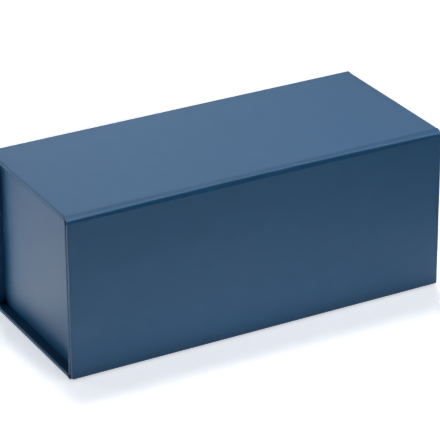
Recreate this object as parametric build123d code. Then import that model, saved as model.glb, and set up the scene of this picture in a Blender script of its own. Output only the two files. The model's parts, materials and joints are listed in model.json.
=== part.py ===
from build123d import *
import os

# Magnetic gift box, shut. X runs along the box, the flap is on the -Y side, +Z is up.
# The origin is under the middle of the box, on the surface that it stands on.
# The case is five greyboard panels in a row: front wall, base, back wall, lid and flap.
# One paper wraps their outer faces and another lines the inner ones, and where no board
# lies between the two papers they are glued together and fold: those are the hinges.

# Overall size
LENGTH = 240.0
DEPTH = 105.0
HEIGHT = 100.5

# Stock
BOARD = 2.0
PAPER = 0.25
TAB_CARD = 1.0

# Wrapping of a panel
EDGE_ROUND = 0.5
TURN_IN = 15.0
LINER_MARGIN = 2.5

# Folded corners of the case
SETBACK = 3.0
CORNER_RADIUS = 1.5

# Fold between lid and flap, measured back from the flap's face and down from the lid's
LID_SETBACK = 4.5
FLAP_SETBACK = 4.6
FOLD_LEAD = 0.45
ROLL_BACK = 2.0
ROLL_DOWN = 0.55
NOSE_BACK = 1.2
NOSE_DOWN = 1.3
FOLD_RADIUS = 0.6

# Clearances of the lid and the flap
FLAP_GAP = 0.6
FLAP_LIFT = 1.5
LID_GAP = 0.3

# Recessed end panels and their glued tabs
END_RECESS = 6.0
TAB_SEAT = 0.05
TAB_SLOT = 1.5
TAB_WIDTH = 25.0
TAB_TAPER = 4.0
FLANGE_WIDTH = 14.0
FLANGE_CLEARANCE = 1.0
TAPE_WIDTH = 14.0
TAPE_INSET = 3.0
TAPE_END = 8.0

# Closure magnets
MAGNET_RADIUS = 6.0
MAGNET_THICKNESS = 1.2
MAGNET_CLEARANCE = 0.1
MAGNET_SPACING = 130.0
MAGNET_HEIGHT = 25.0

# Within this, two faces lie in one plane
TOLERANCE = 1e-4

# Depths into a panel from its outer face: under the wrap, under the liner or the turned-in
# paper, the liner's face in the middle, and its face where it crosses the turned-in paper
WRAP_DEPTH = PAPER
BOARD_DEPTH = WRAP_DEPTH + BOARD
LINED_DEPTH = BOARD_DEPTH + PAPER
RAISED_DEPTH = LINED_DEPTH + PAPER

# Where the panels stand
FLAP_FACE = -DEPTH / 2
BACK_FACE = DEPTH / 2
FRONT_FACE = FLAP_FACE + LINED_DEPTH + FLAP_GAP
WALL_TOP = HEIGHT - RAISED_DEPTH - LID_GAP
MAGNET_PLACES = {"left": -MAGNET_SPACING / 2, "right": MAGNET_SPACING / 2}

# Where the left end panel stands
END_FACE = -LENGTH / 2 + END_RECESS
END_BOARD_FACE = END_FACE + BOARD_DEPTH
END_FLOOR = RAISED_DEPTH
END_FRONT = FRONT_FACE + RAISED_DEPTH + TAB_SEAT
END_BACK = BACK_FACE - RAISED_DEPTH - TAB_SEAT
TAB_START = END_BOARD_FACE + TAB_SLOT
TAB_END = TAB_START + TAB_WIDTH
LINER_STEP = -LENGTH / 2 + TURN_IN + PAPER


def block(x0, x1, y0, y1, z0, z1):
    """Box between these limits."""
    centre = Pos((x0 + x1) / 2, (y0 + y1) / 2, (z0 + z1) / 2)
    return centre * Box(x1 - x0, y1 - y0, z1 - z0)


def layer(end_margin, start, end, top, bottom):
    """Flat layer of a panel in its own frame: x along the box, y along the run of the
    wrapping, z into the panel from its outer face."""
    half = LENGTH / 2 - end_margin
    return block(-half, half, start, end, top, bottom)


def rounded(sheet, radius, start_free, end_free):
    """Rounds the edges that the paper is turned over: both ends and each free side."""
    box = sheet.bounding_box()
    sides = [box.min.X, box.max.X]
    free = [box.min.Y] * start_free + [box.max.Y] * end_free

    def turned(edge):
        at = edge.center()
        on_end = any(abs(at.X - x) < TOLERANCE for x in sides)
        on_free = any(abs(at.Y - y) < TOLERANCE for y in free)
        into_panel = abs(edge.tangent_at(0.5).Z) > 0.5
        return (on_free and on_end) if into_panel else (on_free or on_end)

    return fillet([edge for edge in sheet.edges() if turned(edge)], radius)


# The three layers of a case panel, each in the panel's own frame. A side of the panel is
# either free, with the wrap turned in over it, or hinged, with the liner's lip over it.


def panel_board(run, start_free, end_free):
    board = layer(PAPER, PAPER, run - PAPER, WRAP_DEPTH, BOARD_DEPTH)
    return rounded(board, EDGE_ROUND, start_free, end_free)


def lip_spaces(run, start_free, end_free):
    """Where the liner covers the board's hinged edges."""
    sides = [] if start_free else [(0, PAPER)]
    sides += [] if end_free else [(run - PAPER, run)]
    return [layer(PAPER, a, b, WRAP_DEPTH, BOARD_DEPTH) for a, b in sides]


def panel_wrap(run, start_free, end_free):
    """Outer paper, turned over both ends and each free side and glued down inside."""
    skin = layer(0, 0, run, 0, LINED_DEPTH)
    skin = rounded(skin, EDGE_ROUND + PAPER, start_free, end_free)
    skin -= panel_board(run, start_free, end_free)
    window = layer(TURN_IN, TURN_IN * start_free, run - TURN_IN * end_free, BOARD_DEPTH, LINED_DEPTH)
    skin -= window
    for lip in lip_spaces(run, start_free, end_free):
        skin -= lip
    return skin


def panel_liner(run, start_free, end_free):
    """Inner paper: flat on the board, a step up over the turned-in wrap, short of each
    free edge, and down over the board's hinged edges."""
    sheet = layer(TURN_IN, TURN_IN * start_free, run - TURN_IN * end_free, BOARD_DEPTH, LINED_DEPTH)
    margin_start, margin_end = LINER_MARGIN * start_free, LINER_MARGIN * end_free
    rim = layer(LINER_MARGIN, margin_start, run - margin_end, LINED_DEPTH, RAISED_DEPTH)
    step = TURN_IN + PAPER
    rim -= layer(step, step * start_free, run - step * end_free, LINED_DEPTH, RAISED_DEPTH)
    sheet += rim
    for lip in lip_spaces(run, start_free, end_free):
        sheet += lip
    return sheet


def magnet(panel, from_face, place, height, pocket=0.0):
    """Disc magnet in a panel that stands upright, or its pocket in the board."""
    thickness = MAGNET_THICKNESS + pocket
    disc = Cylinder(MAGNET_RADIUS + pocket, thickness, align=(Align.CENTER, Align.CENTER, Align.MIN))
    start = WRAP_DEPTH if from_face else BOARD_DEPTH - thickness
    run = panel.origin.Z - height
    return Pos(place, run, start) * disc


# The five panels: each one's frame, run and which sides are free. The frames' y axes
# follow the wrapping from the front wall's top edge to the flap's lower edge.

ALONG = (1, 0, 0)
FRONT_FRAME = Plane((0, FRONT_FACE, WALL_TOP), ALONG, (0, 1, 0))
BASE_FRAME = Plane((0, FRONT_FACE + SETBACK, 0), ALONG, (0, 0, 1))
BACK_FRAME = Plane((0, BACK_FACE, SETBACK), ALONG, (0, -1, 0))
LID_FRAME = Plane((0, BACK_FACE - SETBACK, HEIGHT), ALONG, (0, 0, -1))
FLAP_FRAME = Plane((0, FLAP_FACE, HEIGHT - FLAP_SETBACK), ALONG, (0, 1, 0))

PANELS = {
    "front_wall": (FRONT_FRAME, WALL_TOP - SETBACK, True, False),
    "base": (BASE_FRAME, BACK_FACE - FRONT_FACE - 2 * SETBACK, False, False),
    "back_wall": (BACK_FRAME, HEIGHT - 2 * SETBACK, False, False),
    "lid": (LID_FRAME, BACK_FACE - FLAP_FACE - SETBACK - LID_SETBACK, False, False),
    "flap": (FLAP_FRAME, HEIGHT - FLAP_SETBACK - FLAP_LIFT, False, True),
}


def case_panel(name):
    """Board, wrap and liner of one panel in its place, and the magnets that it holds."""
    frame, run, start_free, end_free = PANELS[name]
    board = panel_board(run, start_free, end_free)
    pieces = {}
    if name in ("front_wall", "flap"):
        outward = name == "front_wall"
        word = "wall" if outward else "flap"
        for side, place in MAGNET_PLACES.items():
            board -= magnet(frame, outward, place, MAGNET_HEIGHT, MAGNET_CLEARANCE)
            pieces[f"{side}_{word}_magnet"] = magnet(frame, outward, place, MAGNET_HEIGHT)
    pieces[f"{name}_board"] = board
    pieces[f"{name}_wrap"] = panel_wrap(run, start_free, end_free)
    pieces[f"{name}_liner"] = panel_liner(run, start_free, end_free)
    return {node: frame * solid for node, solid in pieces.items()}


# Hinge papers: wrap and liner glued together across the slot between two boards


def folded_strip(*points, radius):
    """Strip the length of the box. Its outer face runs through these points of a section,
    Y first and then Z, and its inner face lies to their left."""
    outer = FilletPolyline(*points, radius=radius)
    band = offset(outer, 2 * PAPER, side=Side.LEFT, kind=Kind.INTERSECTION)
    section = Plane.YZ * make_face(band.edges())
    return extrude(section, LENGTH / 2, both=True)


def corner_paper(corner, along_a, along_b):
    """Square corner with a rounded bend. corner is where the two outer faces would meet,
    and along_a and along_b point from it along them."""
    corner, along_a, along_b = Vector(*corner), Vector(*along_a), Vector(*along_b)
    start, end = corner + along_a * SETBACK, corner + along_b * SETBACK
    return folded_strip(start, corner, end, radius=CORNER_RADIUS)


def flap_paper():
    """From the lid's front edge it slopes and then rolls down to a nose, and from there it
    falls outwards to the flap's upper edge."""

    def at(back, down):
        return (FLAP_FACE + back, HEIGHT - down)

    return folded_strip(
        at(LID_SETBACK, 0),
        at(LID_SETBACK - FOLD_LEAD, 0),
        at(ROLL_BACK, ROLL_DOWN),
        at(NOSE_BACK, NOSE_DOWN),
        at(0, FLAP_SETBACK - FOLD_LEAD),
        at(0, FLAP_SETBACK),
        radius=FOLD_RADIUS,
    )


HINGE_PAPERS = {
    "front_bottom_hinge_paper": ((FRONT_FACE, 0), (0, 1), (1, 0)),
    "back_bottom_hinge_paper": ((BACK_FACE, 0), (-1, 0), (0, 1)),
    "lid_hinge_paper": ((BACK_FACE, HEIGHT), (0, -1), (-1, 0)),
}


# The left end: a wrapped board that stands on the base, with a tab along each wall


def end_board():
    board = block(
        END_FACE + WRAP_DEPTH,
        END_BOARD_FACE,
        END_FRONT + PAPER,
        END_BACK - PAPER,
        END_FLOOR + PAPER,
        WALL_TOP - PAPER,
    )
    upper = board.edges().group_by(Axis.Z)[-1].filter_by(Axis.Y)
    return fillet(upper, EDGE_ROUND)


def tab_plate(margin, near, far):
    """Front tab's outline, tapered towards its free edge, set in by margin and extruded
    from near to far, both measured from the wall."""
    low, high = END_FLOOR + margin, WALL_TOP - margin
    outline = Polyline(
        (TAB_START, low),
        (TAB_END - margin, low + TAB_TAPER),
        (TAB_END - margin, high - TAB_TAPER),
        (TAB_START, high),
        close=True,
    )
    plane = Plane((0, END_FRONT + near, 0), (1, 0, 0), (0, -1, 0))
    return extrude(plane * make_face(outline), -(far - near))


def tab_card():
    return tab_plate(PAPER, PAPER, PAPER + TAB_CARD)


def tab_skin():
    """Wrap over the front tab: its wall side and its three free edges."""
    skin = tab_plate(0, 0, PAPER + TAB_CARD) - tab_card()
    reach = block(END_FACE, TAB_START, END_FRONT, END_FRONT + PAPER, END_FLOOR, WALL_TOP)
    return skin + reach


def other_tab(piece):
    """The front tab's piece turned over to the back tab's place."""
    middle = Plane((0, (END_FRONT + END_BACK) / 2, 0), (1, 0, 0), (0, 1, 0))
    return mirror(piece, about=middle)


def end_wrap():
    """Outer face, top and bottom edges turned in, and on round to both tabs."""
    inner = END_BOARD_FACE + PAPER
    skin = block(END_FACE, inner, END_FRONT, END_BACK, END_FLOOR, WALL_TOP)
    upper = skin.edges().group_by(Axis.Z)[-1].filter_by(Axis.Y)
    skin = fillet(upper, EDGE_ROUND + PAPER)
    skin -= end_board()
    turned = (END_FLOOR + TURN_IN, WALL_TOP - TURN_IN)
    skin -= block(END_BOARD_FACE, inner, END_FRONT + PAPER, END_BACK - PAPER, *turned)
    skin -= block(END_BOARD_FACE, inner, END_FRONT, END_FRONT + PAPER, END_FLOOR, WALL_TOP)
    skin -= block(END_BOARD_FACE, inner, END_BACK - PAPER, END_BACK, END_FLOOR, WALL_TOP)
    return skin + tab_skin() + other_tab(tab_skin())


def end_liner():
    """Inner paper: over the board and both turned-in edges, along both tabs, and out over
    the base as the flange that the end is glued down by."""
    flat, raised = END_BOARD_FACE + PAPER, END_BOARD_FACE + 2 * PAPER
    tab_face = PAPER + TAB_CARD
    front, back = END_FRONT + tab_face, END_BACK - tab_face
    turned = (END_FLOOR + TURN_IN, WALL_TOP - TURN_IN)
    top = WALL_TOP - LINER_MARGIN
    liner = block(END_BOARD_FACE, flat, END_FRONT + PAPER, END_BACK - PAPER, *turned)
    liner += block(flat, raised, front, back, END_FLOOR, turned[0] + PAPER)
    liner += block(flat, raised, front, back, turned[1] - PAPER, top)
    tab = tab_plate(LINER_MARGIN, tab_face, tab_face + PAPER)
    tab += block(flat, TAB_START, front, front + PAPER, END_FLOOR + LINER_MARGIN, top)
    liner += tab + other_tab(tab)
    clear = PAPER + FLANGE_CLEARANCE
    sides = (front + clear, back - clear)
    liner += block(flat, LINER_STEP + PAPER, *sides, RAISED_DEPTH, RAISED_DEPTH + PAPER)
    flange_end = END_BOARD_FACE + FLANGE_WIDTH
    liner += block(LINER_STEP, flange_end, *sides, LINED_DEPTH, RAISED_DEPTH)
    return liner


def tab_tape():
    """Double-sided tape between the front tab and the flat part of the front wall's liner."""
    far = TAB_END - TAPE_INSET
    low = END_FLOOR + TAPE_END
    high = WALL_TOP - TURN_IN - TAPE_END
    wall_side = FRONT_FACE + LINED_DEPTH
    return block(far - TAPE_WIDTH, far, wall_side, END_FRONT, low, high)


def end_pieces():
    """The left end's pieces and, turned over, the right end's."""
    left = {
        "end_board": end_board(),
        "end_wrap": end_wrap(),
        "end_liner": end_liner(),
        "front_tab_card": tab_card(),
        "back_tab_card": other_tab(tab_card()),
        "front_tape": tab_tape(),
        "back_tape": other_tab(tab_tape()),
    }
    pieces = {f"left_{node}": solid for node, solid in left.items()}
    pieces.update({f"right_{node}": mirror(solid, about=Plane.YZ) for node, solid in left.items()})
    return pieces


def main():
    pieces = {}
    for name in PANELS:
        pieces.update(case_panel(name))
    for name, corner in HINGE_PAPERS.items():
        pieces[name] = corner_paper(*corner)
    pieces["flap_hinge_paper"] = flap_paper()
    pieces.update(end_pieces())
    os.makedirs("parts", exist_ok=True)
    for name, solid in pieces.items():
        export_step(solid, f"parts/{name}.step")


main()
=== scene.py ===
import json
import math
import bmesh
import bpy
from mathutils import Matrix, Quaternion, Vector

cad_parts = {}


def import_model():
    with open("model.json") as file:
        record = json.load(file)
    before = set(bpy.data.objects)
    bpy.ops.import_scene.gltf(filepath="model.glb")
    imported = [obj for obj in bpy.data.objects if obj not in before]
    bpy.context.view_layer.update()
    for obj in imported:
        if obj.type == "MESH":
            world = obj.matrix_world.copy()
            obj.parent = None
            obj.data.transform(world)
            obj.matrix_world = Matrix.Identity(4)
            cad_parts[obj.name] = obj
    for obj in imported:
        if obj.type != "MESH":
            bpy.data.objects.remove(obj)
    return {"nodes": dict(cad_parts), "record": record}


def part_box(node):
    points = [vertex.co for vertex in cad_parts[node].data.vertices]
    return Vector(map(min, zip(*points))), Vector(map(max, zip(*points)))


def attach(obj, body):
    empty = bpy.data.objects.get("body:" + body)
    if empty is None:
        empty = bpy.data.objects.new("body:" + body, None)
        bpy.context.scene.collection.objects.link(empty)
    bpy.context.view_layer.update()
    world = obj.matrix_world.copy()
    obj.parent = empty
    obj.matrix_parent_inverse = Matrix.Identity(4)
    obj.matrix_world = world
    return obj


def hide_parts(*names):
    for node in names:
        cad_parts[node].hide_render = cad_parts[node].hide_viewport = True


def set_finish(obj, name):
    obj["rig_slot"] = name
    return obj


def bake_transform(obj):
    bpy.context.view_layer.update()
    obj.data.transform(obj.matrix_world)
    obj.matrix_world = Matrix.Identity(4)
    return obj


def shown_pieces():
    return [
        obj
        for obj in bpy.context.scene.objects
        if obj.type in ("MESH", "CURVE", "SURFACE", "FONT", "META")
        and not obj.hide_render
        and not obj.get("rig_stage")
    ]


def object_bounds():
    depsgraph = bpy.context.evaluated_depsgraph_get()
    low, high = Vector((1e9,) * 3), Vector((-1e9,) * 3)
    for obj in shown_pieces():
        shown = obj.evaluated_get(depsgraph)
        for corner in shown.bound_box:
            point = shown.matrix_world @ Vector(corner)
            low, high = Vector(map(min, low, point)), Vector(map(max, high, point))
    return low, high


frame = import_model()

# Looks of the magnetic gift box. Metres, in the model's own frame: X along the box, the flap
# on the -Y side, +Z up. Each wrapped panel and each folded paper hinge is built again as a
# thin sheet with soft edges, in the place of its CAD node.

CAD_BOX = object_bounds()
MM = 0.001

# Places closer than this are taken for one
NEAR = 1e-6

# Papers and how they are turned over the boards
PAPER = 0.25 * MM
EDGE_RADIUS = 0.75 * MM
TURN_IN = 15 * MM
LINER_MARGIN = 2.5 * MM
EDGE_STEPS = 5

# The liner rises on the turned-in paper over this width, and rounds over a hinged edge
RISE_WIDTH = 1.2 * MM
RISE_STEPS = 4
LIP_RADIUS = 0.5 * MM
LIP_STEPS = 4

# Tabs of the end panels, how far their wrap stands off the card, and the ends' liner
TAB_TAPER = 4 * MM
TAB_ROUND = 0.35 * MM
TAB_STEPS = 3
TAB_COVER = 0.06 * MM
BEND_RADIUS = 1.0 * MM
BEND_STEPS = 5
FLANGE_WIDTH = 14 * MM
FLANGE_GAP = 1 * MM

# Folded corners of the case, and the straight lead of paper at each side of a fold
CORNER_RADIUS = 1.5 * MM
CORNER_STEPS = 14
CORNER_LEAD = 0.12 * MM

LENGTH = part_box("lid_wrap")[1].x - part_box("lid_wrap")[0].x
HALF = LENGTH / 2


# Small mesh tools


def new_piece(name, mesh_maker):
    """Object with a mesh that mesh_maker fills through bmesh."""
    mesh = bpy.data.meshes.new(name)
    bm = bmesh.new()
    mesh_maker(bm)
    bm.to_mesh(mesh)
    bm.free()
    for polygon in mesh.polygons:
        polygon.use_smooth = True
    piece = bpy.data.objects.new(name, mesh)
    bpy.context.scene.collection.objects.link(piece)
    return piece


def weighted_normals(piece, keep_sharp=False):
    """Lets the flat faces keep flat shading beside their small bevels."""
    modifier = piece.modifiers.new("weighted", "WEIGHTED_NORMAL")
    modifier.weight = 100
    modifier.keep_sharp = keep_sharp


def thicken(piece, thickness=PAPER):
    """Gives a sheet its thickness behind its visible side."""
    solid = piece.modifiers.new("thickness", "SOLIDIFY")
    solid.thickness = thickness
    solid.offset = -1
    solid.use_even_offset = True
    weighted_normals(piece)


def face_out(bm, way):
    """Turns the faces so that the widest one looks this way."""
    bmesh.ops.recalc_face_normals(bm, faces=bm.faces)
    widest = max(bm.faces, key=lambda face: face.calc_area())
    if widest.normal.dot(way) < 0:
        bmesh.ops.reverse_faces(bm, faces=bm.faces)


def sheet(bm, columns, keep=lambda i, j: True):
    """Faces between neighbouring columns of points, where keep(column, row) allows them."""
    grid = [[bm.verts.new(point) for point in column] for column in columns]
    for i, (a, b) in enumerate(zip(grid, grid[1:])):
        for j in range(len(a) - 1):
            if keep(i, j):
                bm.faces.new((a[j], b[j], b[j + 1], a[j + 1]))
    loose = [vert for vert in bm.verts if not vert.link_faces]
    bmesh.ops.delete(bm, geom=loose, context="VERTS")


def stand_for(piece, node, body, slot):
    """The piece takes this node's place, on its body and with this finish."""
    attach(piece, body)
    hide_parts(node)
    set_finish(piece, slot)


# Panels of the case. Each has its own frame: x along the box, s along the run of the
# wrapping and d into the panel from its outer face.

X_AXIS = Vector((1, 0, 0))
UP = Vector((0, 0, 1))
INWARD = Vector((0, 1, 0))

# node name: run direction, inward direction, start free, end free, body
PANELS = {
    "front_wall": (-UP, INWARD, True, False, "tray"),
    "base": (INWARD, UP, False, False, "tray"),
    "back_wall": (UP, -INWARD, False, False, "tray"),
    "lid": (-INWARD, -UP, False, False, "lid"),
    "flap": (-UP, INWARD, False, True, "flap"),
}


class Panel:
    """Frame and sizes of one panel, taken from its wrap's box."""

    def __init__(self, name):
        self.name = name
        self.run_way, self.depth_way, self.start_free, self.end_free, self.body = PANELS[name]
        low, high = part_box(f"{name}_wrap")
        size = high - low
        self.run = abs(size.dot(self.run_way))
        self.depth = abs(size.dot(self.depth_way))
        centre = (low + high) / 2
        self.origin = centre - self.run_way * self.run / 2 - self.depth_way * self.depth / 2

    def place(self, x, s, d):
        return self.origin + X_AXIS * x + self.run_way * s + self.depth_way * d


def slab(bm, low, high):
    """Box in bm between two corners."""
    made = bmesh.ops.create_cube(bm, size=1.0)
    size = Vector(high) - Vector(low)
    centre = (Vector(low) + Vector(high)) / 2
    for vert in made["verts"]:
        vert.co = Vector([vert.co[i] * size[i] for i in range(3)]) + centre


def bevel(bm, edges, radius, steps):
    """Rounds these edges."""
    bmesh.ops.bevel(bm, geom=edges, offset=radius, segments=steps, profile=0.5,
                    affect="EDGES", clamp_overlap=False)


def cut(bm, point, normal):
    """Cuts the faces that cross this plane, and keeps both sides."""
    geometry = bm.verts[:] + bm.edges[:] + bm.faces[:]
    bmesh.ops.bisect_plane(bm, geom=geometry, dist=1e-9, plane_co=point, plane_no=normal)


def wrapped_panel(panel):
    """The wrap of a panel: outer face, rounded over both ends and each free edge, turned in
    on the inner face, and open along its hinged edges."""
    run, depth = panel.run, panel.depth

    def make(bm):
        slab(bm, (-HALF, 0, 0), (HALF, run, depth))
        free = [s for s, is_free in ((0, panel.start_free), (run, panel.end_free)) if is_free]

        def turned(edge):
            middle = (edge.verts[0].co + edge.verts[1].co) / 2
            way = (edge.verts[1].co - edge.verts[0].co).normalized()
            on_end = abs(abs(middle.x) - HALF) < NEAR
            on_free = any(abs(middle.y - s) < NEAR for s in free)
            return (on_end and on_free) if abs(way.z) > 0.5 else (on_end or on_free)

        edges = [edge for edge in bm.edges if turned(edge)]
        bevel(bm, edges, EDGE_RADIUS, EDGE_STEPS)
        start = TURN_IN if panel.start_free else 0
        end = run - TURN_IN if panel.end_free else run
        cut(bm, (-HALF + TURN_IN, 0, 0), (1, 0, 0))
        cut(bm, (HALF - TURN_IN, 0, 0), (1, 0, 0))
        for s in (start, end):
            cut(bm, (0, s, 0), (0, 1, 0))
        inside = []
        for face in bm.faces:
            c = face.calc_center_median()
            over_window = abs(c.x) < HALF - TURN_IN and start < c.y < end and c.z > depth - NEAR
            hinged_start = not panel.start_free and c.y < NEAR
            hinged_end = not panel.end_free and c.y > run - NEAR
            if over_window or hinged_start or hinged_end:
                inside.append(face)
        bmesh.ops.delete(bm, geom=inside, context="FACES")
        for vert in bm.verts:
            vert.co = panel.place(*vert.co)
        face_out(bm, -panel.depth_way)

    piece = new_piece(f"{panel.name}_wrap_paper", make)
    thicken(piece)
    stand_for(piece, f"{panel.name}_wrap", panel.body, "wrap_paper")


def rise(distance):
    """From 0 to 1 as the liner climbs on the turned-in paper, this far from its edge."""
    t = min(max((TURN_IN + RISE_WIDTH - distance) / RISE_WIDTH, 0), 1)
    return t * t * (3 - 2 * t)


def rise_places():
    return [TURN_IN + RISE_WIDTH * i / RISE_STEPS for i in range(RISE_STEPS + 1)]


def margin_profile(depth, is_free):
    """One side of the liner's section: points of distance from the panel's edge and depth,
    then whether each is on the lip over a hinged edge."""
    if is_free:
        return [(at, depth, False) for at in (LINER_MARGIN, *rise_places())]
    points = [(0, 2 * PAPER, True)]
    for i in range(LIP_STEPS + 1):
        angle = math.pi / 2 * i / LIP_STEPS
        points.append((LIP_RADIUS * (1 - math.cos(angle)),
                       depth - LIP_RADIUS * (1 - math.sin(angle)), True))
    return points


def panel_lining(panel):
    """The liner of a panel: flat, raised where it crosses the turned-in wrap, short of the
    free edges and down over the hinged ones."""
    run, depth = panel.run, panel.depth
    near_end = [PAPER, LINER_MARGIN, *rise_places()]
    places = [-HALF + at for at in near_end] + [HALF - at for at in reversed(near_end)]
    start = margin_profile(depth, panel.start_free)
    end = [(run - at, d, lip) for at, d, lip in reversed(margin_profile(depth, panel.end_free))]
    profile = start + end

    def raised(x, s, d):
        on_start = rise(s) if panel.start_free else 0
        on_end = rise(run - s) if panel.end_free else 0
        flat = (1 - rise(HALF - abs(x))) * (1 - on_start) * (1 - on_end)
        return d + PAPER * (1 - flat) * (d - 2 * PAPER) / (depth - 2 * PAPER)

    def inside_margin(i, j):
        outermost = i == 0 or i == len(places) - 2
        return not outermost or (profile[j][2] and profile[j + 1][2])

    def make(bm):
        sheet(bm, [[panel.place(x, s, raised(x, s, d)) for s, d, lip in profile]
                   for x in places], inside_margin)
        face_out(bm, panel.depth_way)

    piece = new_piece(f"{panel.name}_lining_paper", make)
    thicken(piece)
    stand_for(piece, f"{panel.name}_liner", panel.body, "liner_paper")


# Hinge papers


def swept_strip(name, stations, outer_at, thickness):
    """Sheet of this thickness whose outer face runs through outer_at(x), a list of (y, z)
    points of the section, at each of these stations along the box. Its outer side is on the
    right of the points' way."""
    count = len(outer_at(stations[0]))

    def make(bm):
        rings = []
        for x in stations:
            outer = [Vector(p) for p in outer_at(x)]
            inner = []
            for i, point in enumerate(outer):
                before = outer[max(i - 1, 0)]
                after = outer[min(i + 1, count - 1)]
                way = (after - before).normalized()
                inner.append(point + Vector((-way.y, way.x)) * thickness)
            loop = outer + inner[::-1]
            rings.append([bm.verts.new((x, p.x, p.y)) for p in loop])
        size = 2 * count
        for a, b in zip(rings, rings[1:]):
            for i in range(size):
                j = (i + 1) % size
                bm.faces.new((a[i], a[j], b[j], b[i]))
            for i in (0, count - 1, count, size - 1):
                bm.edges.get((a[i], b[i])).smooth = False
        for ring in (rings[0], rings[-1]):
            for i in range(count - 1):
                bm.faces.new((ring[i], ring[i + 1], ring[size - 2 - i], ring[size - 1 - i]))
            for i in range(size):
                bm.edges.get((ring[i], ring[(i + 1) % size])).smooth = False
        bmesh.ops.recalc_face_normals(bm, faces=bm.faces)

    piece = new_piece(name, make)
    weighted_normals(piece, keep_sharp=True)
    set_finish(piece, "wrap_paper")
    return piece


def corner_points(node, outer_y, outer_z):
    """Section of a rounded square corner: outer_y and outer_z say which way the corner
    points. It starts along Y's face and ends along Z's."""
    low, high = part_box(node)
    corner = Vector((high.y if outer_y > 0 else low.y, high.z if outer_z > 0 else low.z))
    back = Vector((-outer_y, -outer_z))
    size = high.z - low.z
    centre = corner + back * CORNER_RADIUS
    points = [Vector((corner.x, corner.y + back.y * t)) for t in (size, size - CORNER_LEAD)]
    for i in range(CORNER_STEPS + 1):
        angle = math.pi / 2 * i / CORNER_STEPS
        reach = Vector((outer_y * math.cos(angle), outer_z * math.sin(angle)))
        points.append(centre + reach * CORNER_RADIUS)
    points += [Vector((corner.x + back.x * t, corner.y)) for t in (size - CORNER_LEAD, size)]
    return points


def corner_hinge(node, outer_y, outer_z, flip):
    points = corner_points(node, outer_y, outer_z)
    if flip:
        points.reverse()
    return swept_strip(f"{node}_fold", [-HALF, -HALF + EDGE_RADIUS, HALF - EDGE_RADIUS, HALF],
                       lambda x: points, 2 * PAPER)


# Fold between lid and flap, in millimetres back from the flap's face and down from the
# lid's: a slope off the lid, the rounded nose and the steep run out to the flap's edge.
# Halfway along the box the nose is tighter and lies higher than at its ends.

FOLD_AT_ENDS = ((4.5, 0.0), (3.8, 0.19), (3.1, 0.49), (2.4, 0.86), (1.9, 1.13), (1.54, 1.34),
                (1.24, 1.54), (1.0, 1.75), (0.79, 1.99), (0.59, 2.29), (0.43, 2.62),
                (0.28, 2.96), (0.13, 3.3), (0.02, 3.55), (0.0, 3.75), (0.0, 4.6))
FOLD_MIDWAY = ((4.5, 0.0), (3.8, 0.04), (3.1, 0.1), (2.5, 0.19), (1.95, 0.34), (1.53, 0.53),
               (1.35, 0.65), (1.2, 0.78), (1.07, 0.93), (0.95, 1.11), (0.85, 1.31),
               (0.7, 1.7), (0.45, 2.38), (0.2, 3.05), (0.0, 3.65), (0.0, 4.6))
FOLD_STATIONS = 48
FOLD_DETAIL = 4


def smooth_line(points, detail):
    """Catmull-Rom curve through the points, with this many steps between two of them."""
    padded = [points[0], *points, points[-1]]
    line = []
    for p0, p1, p2, p3 in zip(padded, padded[1:], padded[2:], padded[3:]):
        for i in range(detail):
            t = i / detail
            line.append(0.5 * (2 * p1 + (p2 - p0) * t + (2 * p0 - 5 * p1 + 4 * p2 - p3) * t * t
                               + (3 * p1 - p0 - 3 * p2 + p3) * t ** 3))
    return line + [points[-1]]


def flap_fold_points(x):
    face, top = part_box("flap_wrap")[0].y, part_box("lid_wrap")[1].z
    bow = 1 - (x / HALF) ** 2
    points = []
    for end, middle in zip(FOLD_AT_ENDS, FOLD_MIDWAY):
        back, down = Vector(end).lerp(Vector(middle), bow) * MM
        points.append(Vector((face + back, top - down)))
    line = smooth_line(points, FOLD_DETAIL)
    return [Vector((max(point.x, face), min(point.y, top))) for point in line]


def hinge_papers():
    front = corner_hinge("front_bottom_hinge_paper", -1, -1, False)
    back = corner_hinge("back_bottom_hinge_paper", 1, -1, True)
    for piece, node in ((front, "front_bottom_hinge_paper"), (back, "back_bottom_hinge_paper")):
        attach(piece, "tray")
        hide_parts(node)
    lid = corner_hinge("lid_hinge_paper", 1, 1, False)
    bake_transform(lid)
    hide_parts("lid_hinge_paper")
    stations = [-HALF + LENGTH * i / FOLD_STATIONS for i in range(FOLD_STATIONS + 1)]
    flap = swept_strip("flap_hinge_paper_fold", stations, flap_fold_points, 2 * PAPER)
    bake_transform(flap)
    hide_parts("flap_hinge_paper")
    return [front, back, lid, flap]


# End panels. Each is built for the left end, and turned over for the right one.


class EndSizes:
    """Limits of the left end's pieces, taken from their nodes."""

    def __init__(self):
        low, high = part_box("left_end_wrap")
        card_low, card_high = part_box("left_front_tab_card")
        liner_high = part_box("left_end_liner")[1]
        self.face, self.inner = low.x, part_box("left_end_board")[1].x
        self.front, self.back = low.y, high.y
        self.floor, self.top = low.z, high.z
        self.tab_start, self.tab_end = card_low.x, high.x
        self.tab_depth = card_high.y - low.y
        self.liner_end, self.liner_top = liner_high.x, liner_high.z


def bevelled_slab(bm, low, high, chosen):
    """Slab whose edges are rounded where chosen(middle, direction) says so."""
    slab(bm, low, high)
    edges = []
    for edge in bm.edges:
        middle = (edge.verts[0].co + edge.verts[1].co) / 2
        way = (edge.verts[1].co - edge.verts[0].co).normalized()
        if chosen(middle, way):
            edges.append(edge)
    edges.sort(key=lambda edge: tuple(edge.verts[0].co) + tuple(edge.verts[1].co))
    bevel(bm, edges, EDGE_RADIUS, EDGE_STEPS)


def mirrored(bm, side):
    """Turns what was built for the left end over to the right one, where side is 1."""
    if side > 0:
        for vert in bm.verts:
            vert.co.x = -vert.co.x
        bmesh.ops.reverse_faces(bm, faces=bm.faces)


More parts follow.
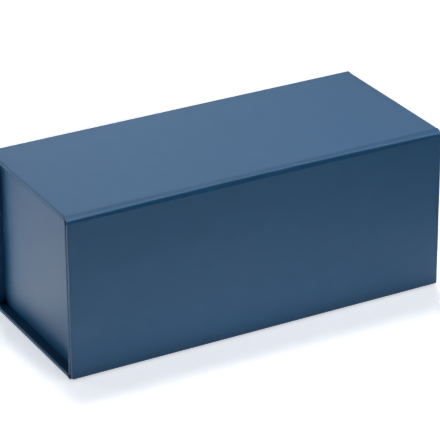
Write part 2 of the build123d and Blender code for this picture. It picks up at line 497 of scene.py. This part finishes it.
def end_panel_wrap(sizes, side, word):
    """Outer face, rounded to the tabs at both sides and over the top edge, turned in at the
    top and bottom of its inner face."""

    def make(bm):
        def rounded(middle, way):
            at_top = middle.z > sizes.top - NEAR and abs(way.y) > 0.5
            at_side = abs(way.z) > 0.5 and middle.x < sizes.face + NEAR
            return at_top or at_side

        bevelled_slab(bm, (sizes.face, sizes.front, sizes.floor),
                      (sizes.inner + PAPER, sizes.back, sizes.top), rounded)
        low, high = sizes.floor + TURN_IN, sizes.top - TURN_IN
        cut(bm, (0, 0, low), (0, 0, 1))
        cut(bm, (0, 0, high), (0, 0, 1))
        window = [face for face in bm.faces
                  if face.calc_center_median().x > sizes.inner + PAPER - NEAR
                  and low < face.calc_center_median().z < high]
        bmesh.ops.delete(bm, geom=window, context="FACES")
        face_out(bm, Vector((-1, 0, 0)))
        mirrored(bm, side)

    piece = new_piece(f"{word}_end_wrap_paper", make)
    thicken(piece)
    stand_for(piece, f"{word}_end_wrap", "tray", "wrap_paper")


def tab_wraps(sizes, side, word):
    """The wrap over both tabs: plates just thicker than their card, tapered towards their
    free edges, that the end panel's paper runs into."""
    depth = sizes.tab_depth + TAB_COVER
    middle = (sizes.floor + sizes.top) / 2
    for name, at, way in (("front", sizes.front, 1), ("back", sizes.back, -1)):

        def make(bm):
            low = (sizes.inner, min(at, at + way * depth), sizes.floor)
            high = (sizes.tab_end, max(at, at + way * depth), sizes.top)
            slab(bm, low, high)
            for vert in bm.verts:
                if vert.co.x > sizes.tab_start:
                    vert.co.z += TAB_TAPER if vert.co.z < middle else -TAB_TAPER
            edges = [edge for edge in bm.edges
                     if min(vert.co.x for vert in edge.verts) > sizes.tab_start
                     or abs((edge.verts[1].co - edge.verts[0].co).x) > sizes.tab_depth * 2]
            bevel(bm, edges, TAB_ROUND, TAB_STEPS)
            bmesh.ops.recalc_face_normals(bm, faces=bm.faces)
            mirrored(bm, side)

        piece = new_piece(f"{word}_{name}_tab_paper", make)
        weighted_normals(piece)
        stand_for(piece, f"{word}_end_wrap", "tray", "wrap_paper")


def bend(corner, start, end):
    """Points of a rounded corner in a plane, from the side of start to that of end."""
    a, b = (start - corner).normalized(), (end - corner).normalized()
    first, last = corner + a * BEND_RADIUS, corner + b * BEND_RADIUS
    points = []
    for i in range(BEND_STEPS + 1):
        t = i / BEND_STEPS
        points.append(first.lerp(corner, t).lerp(corner.lerp(last, t), t))
    return points


def end_panel_lining(sizes, side, word):
    """The end's liner: along the front tab, across the panel, back along the other tab, and
    a flange folded out over the base."""
    flat = sizes.inner + PAPER
    front = sizes.front + sizes.tab_depth + PAPER
    back = sizes.back - sizes.tab_depth - PAPER
    corners = [Vector((flat, front)), Vector((flat, back))]
    ends = [Vector((sizes.liner_end, front)), Vector((sizes.liner_end, back))]
    plan = [ends[0], Vector((sizes.liner_end - LINER_MARGIN, front)),
            *bend(corners[0], ends[0], corners[1]), *bend(corners[1], corners[0], ends[1]),
            Vector((sizes.liner_end - LINER_MARGIN, back)), ends[1]]
    bottom, top = sizes.floor + PAPER, sizes.liner_top
    heights = [bottom, *(sizes.floor + at for at in rise_places()),
               *(sizes.top - at for at in reversed(rise_places())), top]
    middle = (bottom + top) / 2

    def place(point, z):
        on_panel = 1 if point.x < flat + BEND_RADIUS else 0
        lift = max(rise(z - sizes.floor), rise(sizes.top - z)) * on_panel
        along = max(point.x - flat - BEND_RADIUS, 0) / (sizes.tab_end - flat)
        shrink = TAB_TAPER * along + (LINER_MARGIN if z < middle and not on_panel else 0)
        span = (top - bottom) / 2
        height = middle + (z - middle) * (1 - shrink / span)
        return (point.x + PAPER * lift, point.y, height)

    def make(bm):
        sheet(bm, [[place(point, z) for z in heights] for point in plan])
        face_out(bm, Vector((1, 0, 0)))
        mirrored(bm, side)

    piece = new_piece(f"{word}_end_lining_paper", make)
    thicken(piece)
    stand_for(piece, f"{word}_end_liner", "tray", "liner_paper")

    rim = flat + PAPER
    raised = sizes.floor + PAPER
    step = -HALF + TURN_IN
    corner = Vector((rim, raised))
    section = bend(corner, Vector((rim, raised + TURN_IN)), Vector((step, raised)))
    section += [Vector((step, raised)), Vector((step + RISE_WIDTH / 2, raised - PAPER / 2)),
                Vector((step + RISE_WIDTH, raised - PAPER)),
                Vector((sizes.inner + FLANGE_WIDTH, raised - PAPER))]

    def make_flange(bm):
        sheet(bm, [[(p.x, y, p.y) for p in section]
                   for y in (front + FLANGE_GAP, back - FLANGE_GAP)])
        face_out(bm, UP)
        mirrored(bm, side)

    flange = new_piece(f"{word}_end_flange_paper", make_flange)
    thicken(flange)
    stand_for(flange, f"{word}_end_liner", "tray", "liner_paper")


def end_panels():
    sizes = EndSizes()
    for word, side in (("left", -1), ("right", 1)):
        end_panel_wrap(sizes, side, word)
        tab_wraps(sizes, side, word)
        end_panel_lining(sizes, side, word)


# Materials

NAVY = (0.0101, 0.0808, 0.1888)
NAVY_INSIDE = (0.0096, 0.0760, 0.1770)
PAPER_IOR = 1.45
MOTTLE_SCALE, WAVE_SCALE, FIBRE_SCALE = 90, 120, 2600


def empty_material(name):
    """Material with only its output node."""
    mat = bpy.data.materials.new(name)
    mat.use_nodes = True
    nodes, links = mat.node_tree.nodes, mat.node_tree.links
    nodes.clear()
    return mat, nodes, links, nodes.new("ShaderNodeOutputMaterial")


def shaded_material(name):
    mat, nodes, links, output = empty_material(name)
    shader = nodes.new("ShaderNodeBsdfPrincipled")
    links.new(shader.outputs["BSDF"], output.inputs["Surface"])
    return mat, nodes, links, shader


def noise(nodes, links, scale, detail, roughness=0.5):
    """Noise mostly between 0.3 and 0.7, with this many features a metre."""
    where = nodes.new("ShaderNodeTexCoord")
    texture = nodes.new("ShaderNodeTexNoise")
    texture.inputs["Scale"].default_value = scale
    texture.inputs["Detail"].default_value = detail
    texture.inputs["Roughness"].default_value = roughness
    links.new(where.outputs["Object"], texture.inputs["Vector"])
    return texture.outputs["Fac"]


def mapped(nodes, links, value, low, high):
    """Noise spread from low to high."""
    spread = nodes.new("ShaderNodeMapRange")
    spread.inputs["From Min"].default_value = 0.3
    spread.inputs["From Max"].default_value = 0.7
    spread.inputs["To Min"].default_value = low
    spread.inputs["To Max"].default_value = high
    links.new(value, spread.inputs["Value"])
    return spread.outputs["Result"]


def tinted(nodes, links, value, dark, light):
    """Colour between dark and light."""
    mix = nodes.new("ShaderNodeMix")
    mix.data_type = "RGBA"
    mix.inputs[6].default_value = (*dark, 1)
    mix.inputs[7].default_value = (*light, 1)
    links.new(value, mix.inputs["Factor"])
    return mix.outputs[2]


def bumped(nodes, links, shader, *layers):
    """Adds bump from (height, strength, distance) layers, one over the other."""
    normal = None
    for height, strength, distance in layers:
        bump = nodes.new("ShaderNodeBump")
        bump.inputs["Strength"].default_value = strength
        bump.inputs["Distance"].default_value = distance
        links.new(height, bump.inputs["Height"])
        if normal is not None:
            links.new(normal, bump.inputs["Normal"])
        normal = bump.outputs["Normal"]
    links.new(normal, shader.inputs["Normal"])


def paper_material(name, color, roughness, grain):
    """Coated paper glued on board: fine fibres, a faint unevenness of the board under it,
    and small changes of tone and gloss."""
    mat, nodes, links, shader = shaded_material(name)
    mottle = noise(nodes, links, MOTTLE_SCALE, 4)
    fibres = noise(nodes, links, FIBRE_SCALE, 3, 0.6)
    waves = noise(nodes, links, WAVE_SCALE, 2)
    dark = [c * 0.965 for c in color]
    light = [c * 1.035 for c in color]
    tone = mapped(nodes, links, mottle, 0, 1)
    links.new(tinted(nodes, links, tone, dark, light), shader.inputs["Base Color"])
    shader.inputs["IOR"].default_value = PAPER_IOR
    gloss = mapped(nodes, links, fibres, roughness - 0.03, roughness + 0.03)
    links.new(gloss, shader.inputs["Roughness"])
    bumped(nodes, links, shader, (waves, 0.05, 0.1 * MM), (fibres, grain, 0.012 * MM))
    return mat


def plain_material(name, color, roughness, scale):
    """Cut board, tape or metal: fine mottling in its tone and surface."""
    mat, nodes, links, shader = shaded_material(name)
    specks = noise(nodes, links, scale, 5, 0.65)
    tone = mapped(nodes, links, specks, 0, 1)
    dark = [c * 0.85 for c in color]
    light = [min(1, c * 1.12) for c in color]
    links.new(tinted(nodes, links, tone, dark, light), shader.inputs["Base Color"])
    links.new(mapped(nodes, links, specks, roughness - 0.05, roughness + 0.05),
              shader.inputs["Roughness"])
    bumped(nodes, links, shader, (specks, 0.3, 0.05 * MM))
    return mat


def dress():
    wrap = paper_material("navy_laminated_paper", NAVY, 0.42, 0.25)
    liner = paper_material("navy_lining_paper", NAVY_INSIDE, 0.55, 0.4)
    board = plain_material("greyboard_cut", (0.27, 0.25, 0.22), 0.9, 1500)
    tape = plain_material("clear_tape", (0.78, 0.77, 0.72), 0.4, 700)
    metal = plain_material("nickel_magnet", (0.55, 0.55, 0.56), 0.35, 2500)
    metal.node_tree.nodes["Principled BSDF"].inputs["Metallic"].default_value = 1.0
    by_slot = {"wrap_paper": wrap, "liner_paper": liner, "greyboard": board,
               "adhesive_tape": tape, "magnet": metal}
    slots = {part["node"]: part["material_slot"] for part in frame["record"]["subparts"]}
    for node, item in frame["nodes"].items():
        item.data.materials.clear()
        item.data.materials.append(by_slot[slots[node]])
    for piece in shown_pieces():
        if piece.name not in frame["nodes"]:
            piece.data.materials.clear()
            piece.data.materials.append(by_slot[piece.get("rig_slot", "wrap_paper")])


# Studio. The camera's angles are in degrees, from the box's front, and the lens is in
# millimetres.

CAMERA_TARGET = Vector((0.00164, -0.00112, 0.04983))
CAMERA_AZIMUTH = -28.528
CAMERA_ELEVATION = 25.613
CAMERA_DISTANCE = 1.5327
CAMERA_ROLL = -0.489
CAMERA_LENS = 215.48
CAMERA_SENSOR = 36


def camera():
    azimuth, elevation = math.radians(CAMERA_AZIMUTH), math.radians(CAMERA_ELEVATION)
    back = Vector((math.sin(azimuth) * math.cos(elevation),
                   -math.cos(azimuth) * math.cos(elevation),
                   math.sin(elevation)))
    data = bpy.data.cameras.new("camera")
    data.sensor_width = CAMERA_SENSOR
    data.lens = CAMERA_LENS
    data.clip_start, data.clip_end = 0.05, 50
    item = bpy.data.objects.new("camera", data)
    bpy.context.scene.collection.objects.link(item)
    level = (-back).to_track_quat("-Z", "Y")
    item.rotation_mode = "QUATERNION"
    item.rotation_quaternion = level @ Quaternion((0, 0, 1), math.radians(CAMERA_ROLL))
    item.location = CAMERA_TARGET + back * CAMERA_DISTANCE
    bpy.context.scene.camera = item


def lamp(name, power, place, way, size, spread=180, mirrored=True):
    """Area lamp of this power in watts, with a spread in degrees. The glossy paper shows
    it if it's mirrored."""
    data = bpy.data.lights.new(name, "AREA")
    data.shape = "RECTANGLE"
    data.size, data.size_y = size
    data.energy = power
    data.spread = math.radians(spread)
    item = bpy.data.objects.new(name, data)
    bpy.context.scene.collection.objects.link(item)
    item.location = place
    item.rotation_mode = "QUATERNION"
    item.rotation_quaternion = Vector(way).to_track_quat("-Z", "Y")
    item.visible_camera = False
    item.visible_glossy = mirrored


def lamps():
    """Softboxes from above, and low patches for the light of the table round the box."""
    lamp("overhead_front", 2.6, (0.2, -0.6, 1), (-0.1, 0.3, -1), (0.45, 0.45), mirrored=False)
    lamp("overhead_beam", 0.49, (0.1, 0.26, 1), (-0.12, -0.31, -0.9), (0.4, 0.4), spread=24,
         mirrored=False)
    lamp("right_shoulder", 0.5, (0.49, -0.4, 1), (-0.49, 0.4, -1), (0.2, 0.2), mirrored=False)
    lamp("right_high", 0.4, (1.3, 0.45, 1), (-1.3, -0.45, -1), (0.45, 0.45), mirrored=False)
    lamp("back_low", 1.6, (0, 1.5, 0.35), (0, -1, -0.15), (1.6, 0.5))
    lamp("left_low", 1.6, (-0.9, 0.8, 0.1), (0.9, -0.8, 0), (0.8, 0.16))
    lamp("left_side", 3.6, (-0.75, 0.85, 0.2), (0.7, -0.85, -0.1), (0.3, 0.3), mirrored=False)
    lamp("left_table", 5, (-0.45, 0.4, 0.001), UP, (0.5, 0.4), mirrored=False)
    lamp("left_near_table", 0.1, (-0.23, 0.12, 0.001), UP, (0.2, 0.2))
    lamp("front_table", 0.55, (0, -0.45, 0.001), UP, (0.9, 0.4), mirrored=False)
    lamp("front_near_table", 0.085, (0, -0.1, 0.001), UP, (0.4, 0.08), mirrored=False)


# Painted reflections: the world gives the object no light, and only the glossy paper shows
# these levels, by the direction's Y, from dark in front over a bright soft panel to a dim
# ceiling and the sweep behind, and by its X, from dark at the left over the panel's middle
# to a dimmer right.
PAINTED_REFLECTION_ALONG = ((-0.7, 0.0), (-0.58, 0.35), (-0.48, 0.95), (-0.38, 1.0), (-0.22, 0.75),
              (0.02, 0.16), (0.33, 0.107), (0.6, 0.112), (0.79, 0.124), (1.0, 0.124))
PAINTED_REFLECTION_ACROSS = ((-0.35, 0.0), (-0.1, 0.5), (0.1, 0.95), (0.3, 1.0), (0.5, 0.76), (0.75, 0.5),
               (1.0, 0.3))
PAINTED_REFLECTION_STRENGTH = 7.4

# The floor's own colour, its lift near the box, and how strongly the glossy paper shows that
# lift at the foot and at the reach of this painted sheen, a glow of the lift that only
# reflections show. The lift turns white over these distances.
FLOOR_SIZE = 8.0
FLOOR_COLOR = (0.8, 0.8, 0.8)
FLOOR_LIFT = (0.585, 0.605, 0.645)
PAINTED_FLOOR_SHEEN = (1.0, 0.05)
PAINTED_SHEEN_REACH = 0.07
WHITE_FROM = (0.14, 0.4)


def math_node(nodes, links, operation, *values):
    item = nodes.new("ShaderNodeMath")
    item.operation = operation
    for socket, value in zip(item.inputs, values):
        if isinstance(value, (int, float)):
            socket.default_value = value
        else:
            links.new(value, socket)
    return item.outputs[0]


def seen_directly(nodes, links, in_camera, in_gloss):
    """Level for rays that come from the camera, and for those from a glossy or clear
    surface. It is 0 for all others, which light the object."""
    path = nodes.new("ShaderNodeLightPath")
    mirrored = math_node(nodes, links, "MAXIMUM", path.outputs["Is Glossy Ray"],
                         path.outputs["Is Transmission Ray"])
    gloss = math_node(nodes, links, "MULTIPLY", mirrored, in_gloss)
    camera = math_node(nodes, links, "MULTIPLY", path.outputs["Is Camera Ray"], in_camera)
    return math_node(nodes, links, "MAXIMUM", camera, gloss)


def stepped(nodes, links, value, levels):
    """Level read off these (value, level) pairs, straight between two of them."""
    low, high = levels[0][0], levels[-1][0]
    spread = nodes.new("ShaderNodeMapRange")
    spread.inputs["From Min"].default_value = low
    spread.inputs["From Max"].default_value = high
    links.new(value, spread.inputs["Value"])
    ramp = nodes.new("ShaderNodeValToRGB")
    stops = ramp.color_ramp.elements
    for _ in levels[2:]:
        stops.new(0.5)
    for stop, (at, level) in zip(stops, levels):
        stop.position = (at - low) / (high - low)
        stop.color = (level, level, level, 1)
    links.new(spread.outputs["Result"], ramp.inputs["Fac"])
    return ramp.outputs["Color"]


# Level of the painted reflections, by the direction's Y and X.
def painted_reflection_level(nodes, links):
    where = nodes.new("ShaderNodeTexCoord")
    split = nodes.new("ShaderNodeSeparateXYZ")
    links.new(where.outputs["Generated"], split.inputs["Vector"])
    along = stepped(nodes, links, split.outputs["Y"], PAINTED_REFLECTION_ALONG)
    across = stepped(nodes, links, split.outputs["X"], PAINTED_REFLECTION_ACROSS)
    level = math_node(nodes, links, "MULTIPLY", along, across)
    return math_node(nodes, links, "MULTIPLY", level, PAINTED_REFLECTION_STRENGTH)


def world():
    sky = bpy.data.worlds.new("studio")
    bpy.context.scene.world = sky
    sky.use_nodes = True
    nodes, links = sky.node_tree.nodes, sky.node_tree.links
    nodes.clear()
    output = nodes.new("ShaderNodeOutputWorld")
    background = nodes.new("ShaderNodeBackground")
    # The camera sees a plain white backdrop; the glossy paper sees the painted reflections,
    # which light nothing.
    strength = seen_directly(nodes, links, 1.0, painted_reflection_level(nodes, links))
    links.new(strength, background.inputs["Strength"])
    background.inputs["Color"].default_value = (1, 1, 1, 1)
    links.new(background.outputs["Background"], output.inputs["Surface"])


def floor_material():
    """Pale table that is lit by the lamps, and lifted to white for the camera away from the
    box, while the box's shadow stays. By the foot the glossy paper shows the lift too, as a
    painted sheen that no lamp gives."""
    mat, nodes, links, output = empty_material("pale_floor")
    diffuse = nodes.new("ShaderNodeBsdfDiffuse")
    diffuse.inputs["Color"].default_value = (*FLOOR_COLOR, 1)
    lift = nodes.new("ShaderNodeEmission")
    where = nodes.new("ShaderNodeTexCoord")
    reach = nodes.new("ShaderNodeVectorMath")
    reach.operation = "LENGTH"
    links.new(where.outputs["Object"], reach.inputs[0])
    away = nodes.new("ShaderNodeMapRange")
    away.interpolation_type = "SMOOTHSTEP"
    away.inputs["From Min"].default_value, away.inputs["From Max"].default_value = WHITE_FROM
    links.new(reach.outputs["Value"], away.inputs["Value"])
    color = tinted(nodes, links, away.outputs["Result"], FLOOR_LIFT, (1, 1, 1))
    links.new(color, lift.inputs["Color"])
    split = nodes.new("ShaderNodeSeparateXYZ")
    links.new(where.outputs["Object"], split.inputs["Vector"])
    gaps = []
    for axis, half in (("X", CAD_BOX[1][0]), ("Y", CAD_BOX[1][1])):
        across = math_node(nodes, links, "ABSOLUTE", split.outputs[axis])
        gaps.append(math_node(nodes, links, "SUBTRACT", across, half))
    gap = math_node(nodes, links, "MAXIMUM", *gaps)
    near, far = PAINTED_FLOOR_SHEEN
    # Painted sheen: reflections show the lift strongly at the box's foot, fading with the gap
    # from the box.
    sheen = stepped(nodes, links, gap, ((0.0, near), (PAINTED_SHEEN_REACH, far)))
    links.new(seen_directly(nodes, links, 1.0, sheen), lift.inputs["Strength"])
    both = nodes.new("ShaderNodeAddShader")
    links.new(diffuse.outputs["BSDF"], both.inputs[0])
    links.new(lift.outputs["Emission"], both.inputs[1])
    links.new(both.outputs["Shader"], output.inputs["Surface"])
    return mat


def floor():
    def make(bm):
        bmesh.ops.create_grid(bm, x_segments=2, y_segments=2, size=FLOOR_SIZE)

    item = new_piece("floor", make)
    item.data.materials.append(floor_material())
    item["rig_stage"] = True


for panel_name in PANELS:
    panel = Panel(panel_name)
    wrapped_panel(panel)
    panel_lining(panel)
hinge_papers()
end_panels()
dress()
camera()
lamps()
world()
floor()

bpy.context.scene.view_settings.view_transform = "Standard"
bpy.context.view_layer.update()
